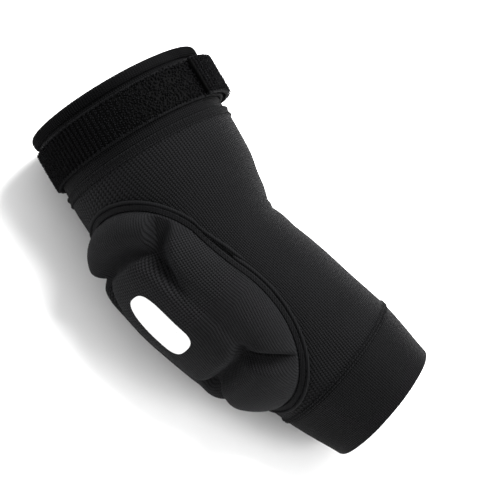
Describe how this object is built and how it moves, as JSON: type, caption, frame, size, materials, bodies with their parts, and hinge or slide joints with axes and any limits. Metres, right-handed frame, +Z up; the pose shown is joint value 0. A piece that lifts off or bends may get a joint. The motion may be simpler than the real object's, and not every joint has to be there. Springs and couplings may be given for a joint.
{
  "type": "padded elbow sleeve",
  "caption": "Pre-bent knitted elbow sleeve with a strapped upper cuff, a folded lower cuff and an oval segmented foam pad over the elbow.",
  "frame": {"origin": "under the middle of the bounding box, on the surface that the sleeve lies on", "axes": "+X towards the forearm end, +Z up along the elbow's axis (leaning 3.5 degrees), and the pad faces -Y"},
  "size_m": [0.2402, 0.1504, 0.1084],
  "materials": {
    "knit": "ribbed elastic knit",
    "trim_tape": "woven elastic tape",
    "strap_loop": "looped pile",
    "hook": "moulded hooks",
    "elastic": "braided elastic",
    "thread": "sewing thread",
    "foam": "closed-cell foam",
    "print": "matt transfer print"
  },
  "bodies": {
    "upper_arm": {"rim_welt": "knit", "rim_elastic": "elastic", "upper_cuff": "knit", "upper_seam": "trim_tape", "upper_seam_stitches": "thread", "strap_band": "strap_loop", "strap_binding_upper": "trim_tape", "strap_binding_lower": "trim_tape", "strap_anchor_stitches": "thread", "strap_flap": "strap_loop", "flap_binding_upper": "trim_tape", "flap_binding_lower": "trim_tape", "upper_sleeve": "knit", "elbow_sleeve": "knit", "foam_upper_lobe": "foam"},
    "forearm": {"lower_sleeve": "knit", "lower_seam": "trim_tape", "lower_seam_stitches": "thread", "lower_cuff": "knit", "lower_hem_elastic": "elastic", "foam_lower_lobe": "foam"},
    "pad": {"foam_centre": "foam", "foam_side_outer": "foam", "foam_side_inner": "foam", "pad_backing": "trim_tape", "pad_cover": "knit", "pad_binding": "trim_tape", "pad_piping": "trim_tape", "pad_stitches": "thread", "front_mark": "print"},
    "strap_tab": {"hook_tab": "strap_loop", "tab_binding_upper": "trim_tape", "tab_binding_lower": "trim_tape", "hook_patch": "hook", "tab_stitches": "thread"}
  },
  "joints": [
    {"name": "elbow_bend", "type": "hinge", "parent": "upper_arm", "child": "forearm", "pos_m": [-0.01015, -0.02259, 0.0487], "axis": [0.061, 0, 0.9981], "range_deg": [-24, 62], "deforming": ["elbow_sleeve", "foam_centre", "foam_side_outer", "foam_side_inner", "pad_backing", "pad_cover", "pad_binding", "pad_piping", "pad_stitches", "front_mark"]},
    {"name": "pad_follow", "type": "hinge", "parent": "upper_arm", "child": "pad", "pos_m": [-0.01015, -0.02259, 0.0487], "axis": [0.061, 0, 0.9981], "range_deg": [-12.5, 31.5]},
    {"name": "strap_peel", "type": "hinge", "parent": "upper_arm", "child": "strap_tab", "pos_m": [-0.09784, 0.04134, 0.06354], "axis": [-0.9981, 0, 0.061], "range_deg": [0, 75]}
  ],
  "couplings": [
    {"joint": "pad_follow", "follows": "elbow_bend", "ratio": 0.5}
  ]
}
